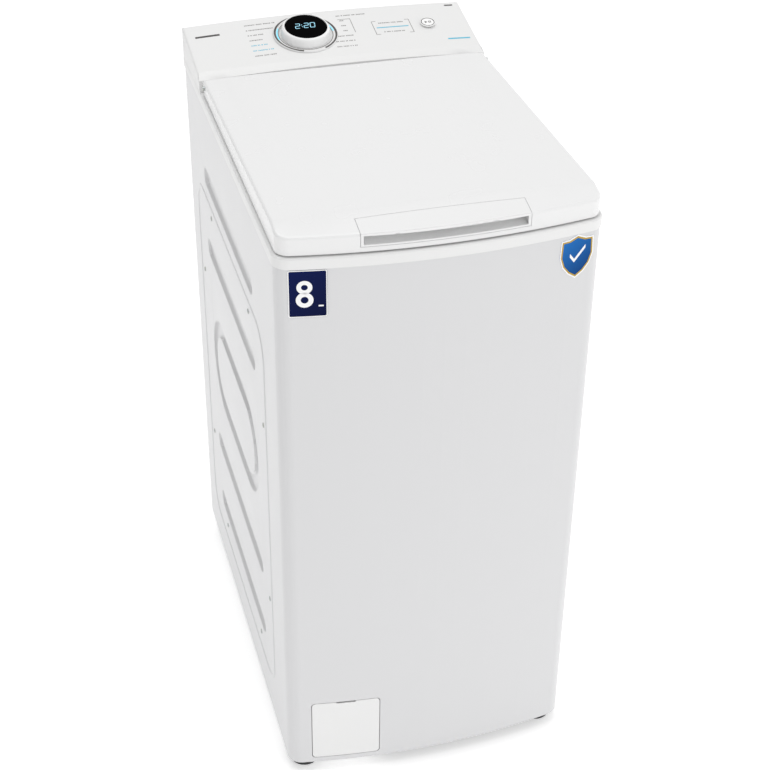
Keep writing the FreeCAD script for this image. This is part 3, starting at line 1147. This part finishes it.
# ---------------------------------------------------------------- drive
def make_drive():
    half = P.pulley_width / 2
    groove = P.belt_thickness
    rim = P.pulley_radius
    wheel = turned("X", (P.pulley_x, P.tub_y, P.tub_z), [
        (-half, P.shaft_radius), (-half, 30), (-2, 34), (-2, rim - 14), (-half, rim - 10),
        (-half, rim + 2), (-half + 2, rim), (half - 2, rim), (half, rim + 2), (half, rim - 10),
        (2, rim - 14), (2, 34), (half, 30), (half, P.shaft_radius)])
    windows = []
    for i in range(6):
        turn = math.radians(60 * i)
        windows.append(cylinder("X", (P.pulley_x - 10, P.tub_y + 80 * math.cos(turn),
                                      P.tub_z + 80 * math.sin(turn)), 30, 20))
    node("drum_pulley", cut(wheel, *windows))

    x0 = P.motor_x - P.motor_length / 2
    at = (x0, P.motor_y, P.motor_z)
    case = turned("X", at, [
        (0, P.motor_shaft + P.running_gap), (0, 30), (8, P.motor_radius - 4), (20, P.motor_radius),
        (P.motor_length - 20, P.motor_radius), (P.motor_length - 8, P.motor_radius - 4),
        (P.motor_length, 30), (P.motor_length, P.motor_shaft + P.running_gap),
        (P.motor_length - 14, P.motor_shaft + P.running_gap), (P.motor_length - 14, 46),
        (14, 46), (14, P.motor_shaft + P.running_gap)])
    core = turned("X", at, [
        (-6, 0), (-6, P.motor_shaft), (30, P.motor_shaft), (30, 40), (P.motor_length - 30, 40),
        (P.motor_length - 30, P.motor_shaft), (P.pulley_x - x0 - half, P.motor_shaft),
        (P.pulley_x - x0 - half, P.motor_pulley_radius + 1.5),
        (P.pulley_x - x0 - half + 1.5, P.motor_pulley_radius),
        (P.pulley_x - x0 + half - 1.5, P.motor_pulley_radius),
        (P.pulley_x - x0 + half, P.motor_pulley_radius + 1.5), (P.pulley_x - x0 + half, 0)])
    node("motor_rotor", core)
    node("drive_belt", ready(belt(groove)))
    arms = [ready(motor_arm(P.motor_x + dx)) for dx in (-40, 40)]
    group("motor_case", [case] + arms)


def belt(thickness):
    """An open belt round the two pulleys, a little clear of both."""
    big, small = float(P.pulley_radius) + 0.3, float(P.motor_pulley_radius) + 0.3
    c0 = Vector(0, float(P.tub_y), float(P.tub_z))
    c1 = Vector(0, float(P.motor_y), float(P.motor_z))
    faces = []
    for grow in (0, float(thickness)):
        r0, r1 = big + grow, small + grow
        way = (c1 - c0).normalize()
        side = Vector(0, -way.z, way.y)
        lean = math.asin((r0 - r1) / (c1 - c0).Length)
        points = []
        for s in (1, -1):
            normal = side * (s * math.cos(lean)) + way * math.sin(lean)
            points.append((c0 + normal * r0, c1 + normal * r1))
        far0, far1 = c0 - way * r0, c1 + way * r1
        faces.append(Part.Face(Part.Wire([
            Part.Arc(points[1][0], far0, points[0][0]).toShape(),
            Part.LineSegment(points[0][0], points[0][1]).toShape(),
            Part.Arc(points[0][1], far1, points[1][1]).toShape(),
            Part.LineSegment(points[1][1], points[1][0]).toShape()])))
    width = float(P.pulley_width) - 4.6
    loop = faces[1].cut(faces[0]).extrude(Vector(width, 0, 0))
    loop.translate(Vector(float(P.pulley_x) - width / 2, 0, 0))
    return loop


def motor_arm(x):
    """A cast arm from the motor's case up to the tub's wall."""
    c0 = Vector(number(x), float(P.motor_y), float(P.motor_z))
    c1 = Vector(number(x), float(P.tub_y), float(P.tub_z))
    way = (c1 - c0).normalize()
    side = Vector(0, -way.z, way.y) * 34
    near, far = c0 + way * 20, c1 - way * (float(TUB_OUTER) - 30)
    ring = [near + side, far + side * 1.6, far - side * 1.6, near - side]
    face = Part.Face(Part.makePolygon(ring + ring[:1]))
    face.translate(Vector(-6, 0, 0))
    arm = face.extrude(Vector(12, 0, 0))
    arm = arm.cut([rod("X", (number(x) - 10, P.motor_y, P.motor_z), P.motor_radius, 20),
                   rod("X", (number(x) - 10, P.tub_y, P.tub_z), TUB_OUTER, 20)])
    return arm


# ---------------------------------------------------------------- suspension
def spring_places():
    return [(P.tub_x + sx * P.spring_side, P.tub_y + sy * P.spring_offset)
            for sx in (-1, 1) for sy in (-1, 1)]


def damper_places():
    return [(P.tub_x + P.damper_side, P.tub_y - P.damper_offset),
            (P.tub_x - P.damper_side, P.tub_y + P.damper_offset)]


def make_suspension():
    top = P.rail_top
    sheet_t = P.rail_sheet
    rails = []
    for side in (-1, 1):
        wall = side * (HALF_WIDTH - P.panel_inset - P.steel_sheet - P.rib_depth - 2.5)
        inner = wall - side * 42
        x0, x1 = (wall, inner) if side < 0 else (inner, wall)
        y0, y1 = P.tub_y - P.spring_offset - 30, P.tub_y + P.spring_offset + 30
        plate = box(x0, x1, y0, y1, top - sheet_t, top)
        web = box(x0 if side < 0 else x1 - sheet_t, x0 + sheet_t if side < 0 else x1, y0, y1,
                  top - 30, top)
        holes = [cylinder("Z", (x, y, top - 10), 3.2, 20) for x, y in spring_places()]
        rails.append(cut(fuse(plate, web), *holes))
    group("suspension_rails", rails)
    group("suspension_springs", [spring(x, y) for x, y in spring_places()])
    cases, rods = [], []
    for x, y in damper_places():
        low = P.base_bottom + P.base_floor
        cases.append(turned("Z", (x, y, low), [
            (0, 0), (0, P.damper_radius), (P.damper_top - low, P.damper_radius),
            (P.damper_top - low, P.damper_rod + P.running_gap),
            (P.damper_top - low - 8, P.damper_rod + P.running_gap),
            (P.damper_top - low - 8, P.damper_radius - 2), (4, P.damper_radius - 2), (4, 0)]))
        piston = P.damper_radius - 2 - P.running_gap * 4
        rod_top = P.tub_z - 181 - low
        rods.append(turned("Z", (x, y, low), [
            (36, 0), (36, piston), (44, piston), (44, P.damper_rod), (rod_top, P.damper_rod),
            (rod_top, 0)]))
    group("damper_cases", cases)
    group("damper_rods", rods)


def spring(x, y):
    """A tension spring with a straight hook at each end."""
    low, high = P.spring_bottom, P.spring_top
    coil_low, coil_high = low + 12, high - 14
    helix = doc.addObject("Part::Helix", "coil")
    bind(helix, Radius=P.spring_radius, Pitch=(coil_high - coil_low) / P.spring_turns,
         Height=coil_high - coil_low)
    helix.Placement.Base = Vector(number(x), number(y), number(coil_low))
    doc.recompute()
    wire, start = helix.Shape, helix.Shape.Vertexes[0].Point
    path = Part.Wire(wire.Edges)
    edge = path.Edges[0]
    ring = Part.Wire(Part.makeCircle(float(P.spring_wire) / 2, start, edge.tangentAt(edge.FirstParameter)))
    coil = path.makePipeShell([ring], True, True)
    thin = float(P.spring_wire) / 2
    ends = []
    for z0, z1, z_bar in ((low - 17, coil_low, coil_low), (coil_high, P.rail_top + 3, coil_high)):
        ends.append(rod("Z", (x, y, z0), thin, z1 - z0))
        ends.append(rod("X", (x, y, z_bar), thin, P.spring_radius))
        ends.append(Part.makeSphere(thin, Vector(number(x), number(y), number(z_bar))))
    ends.append(Part.makeCylinder(5, 2, Vector(number(x), number(y), float(P.rail_top))))
    return ready(coil.fuse(ends))


# ---------------------------------------------------------------- bellows, hoses, services
def make_bellows():
    """A folded rubber mouth from the tub's neck up to the collar of the top frame."""
    wall = 2.2
    nx, ny = float(P.neck_width) / 2, float(P.neck_depth) / 2
    levels = []
    z0, z1 = float(P.neck_top) + 0.3, float(P.collar_bottom) - 0.3
    turns = 4
    cx0, cy0 = float(P.tub_x), float(P.tub_y)
    half, y0, y1 = float(P.opening_width) / 2, -float(P.opening_front), float(P.opening_back)
    cx1, cy1, wx1, wy1 = 0.0, (y0 + y1) / 2, half, (y1 - y0) / 2
    for i in range(2 * turns + 1):
        t = i / (2 * turns)
        fold = 4.0 if i % 2 else 0.0
        levels.append((z0 + (z1 - z0) * t, cx0 + (cx1 - cx0) * t, cy0 + (cy1 - cy0) * t,
                       nx + (wx1 - nx) * t - fold, ny + (wy1 - ny) * t - fold))

    def skin(grow):
        wires = [rounded_loop(z, cx, cy, wx + grow, wy + grow, 26 + grow) for z, cx, cy, wx, wy in levels]
        return Part.makeLoft(wires, True, True)

    node("bellows", ready(skin(wall).cut(skin(0))))


def rounded_loop(z, cx, cy, wx, wy, radius):
    face = Part.makePlane(2 * wx, 2 * wy, Vector(cx - wx, cy - wy, z))
    solid = face.extrude(Vector(0, 0, 1))
    solid = solid.makeFillet(radius, [e for e in solid.Edges if along("Z")(e)])
    for f in solid.Faces:
        if f.BoundBox.ZMax < z + 1e-6:
            return f.OuterWire


def make_services():
    sump_low = P.tub_z - TUB_OUTER - P.sump_drop
    spigot_z = sump_low - 18
    housing_y = FRONT + P.front_bow + P.recess_depth + 0.3
    start = (P.tub_x - 46, P.tub_y, spigot_z + 14)
    end = (P.flap_x + P.filter_radius + 16, housing_y + 40, P.pump_z + 4)
    points = [start, (start[0], start[1], P.pump_z + 4), (start[0], end[1], P.pump_z + 4), end]
    node("sump_hose", ready(hose(points, P.spigot_radius, 2.4)))

    y = REAR_PANEL_Y - P.steel_sheet - P.seat_gap
    x, z = P.valve_x, P.valve_z
    body = box(x - 20, x + 20, y - 44, y, z - 18, z + 16)
    stub = cylinder("Y", (x, y - 4, z), P.thread_radius, P.steel_sheet + P.seat_gap + P.thread_length + 4)
    bore = cylinder("Y", (x, y - 24, z), 7, 60)
    coil = cylinder("Z", (x - 6, y - 30, z - 44), 12, 28)
    valve = cut(fuse(body, stub, coil), bore)
    points = [(x - 20.2, y - 30, z), (x - 80, y - 30, z), (x - 80, P.opening_back + 6, z + 23)]
    group("inlet_valve", [valve, ready(hose(points, 8, 1.6, 20))])
    gland = fuse(cylinder("Y", (x, y - 7.5, z - 70), 8, 11), cylinder("Y", (x, REAR_PANEL_Y, z - 70), 12, 9))
    node("cord_gland", gland)
    disc = cylinder("Y", (-60, y - 20, z - 40), 24, 20)
    switch = fuse(disc, cylinder("Z", (-60, y - 10, z - 78), 3, 16))
    group("rear_electrics", [box(x - 22, x + 22, y - 34, y - 8, z - 92, z - 52), switch])


# ---------------------------------------------------------------- labels
def make_labels():
    skin = slab(P.panel_inset - P.label_thickness, 0, 0, P.overall_height).cut(
        slab(P.panel_inset, 10, 0, P.overall_height))
    tag = skin.common(round_block(
        P.tag_x - P.tag_width / 2, P.tag_x + P.tag_width / 2, FRONT - 20, 0, P.tag_low,
        P.tag_low + P.tag_height, 3, "Y"))
    node("capacity_label", ready(tag))
    x, z = float(P.shield_x), float(P.shield_top)
    wide, high = float(P.shield_width) / 2, float(P.shield_height)
    outline = [(x, z), (x + wide * 0.5, z - 5), (x + wide * 0.95, z - 5.5), (x + wide, z - 28),
               (x + wide * 0.8, z - 42), (x + wide * 0.45, z - 52), (x, z - high),
               (x - wide * 0.45, z - 52), (x - wide * 0.8, z - 42), (x - wide, z - 28),
               (x - wide * 0.95, z - 5.5), (x - wide * 0.5, z - 5)]
    corners = [Vector(px, float(FRONT) - 20, pz) for px, pz in outline]
    face = Part.Face(Part.makePolygon(corners + corners[:1]))
    node("shield_label", ready(skin.common(face.extrude(Vector(0, 200, 0)))))


def export_all():
    """Checks every object, then writes each node as a STEP file."""
    doc.recompute()
    for thing in doc.Objects:
        bad = [s for s in thing.State if s in ("Invalid", "Error")]
        if bad:
            raise RuntimeError(f"{thing.Label} ({thing.TypeId}): {bad}")
    for thing in NODES:
        if thing.Shape.isNull() or not thing.Shape.isValid() or thing.Shape.Volume <= 0:
            raise RuntimeError(f"{thing.Label}: the shape is null, not valid or empty")
    os.makedirs("parts", exist_ok=True)
    for thing in NODES:
        thing.Shape.exportStep(os.path.join("parts", thing.Label + ".step"))
    print(f"{len(NODES)} nodes written")


make_cabinet()
make_base()
make_top_frame()
make_lid()
make_console()
make_lock()
make_filter()
make_tub()
make_drum()
make_drive()
make_suspension()
make_bellows()
make_services()
make_labels()
export_all()
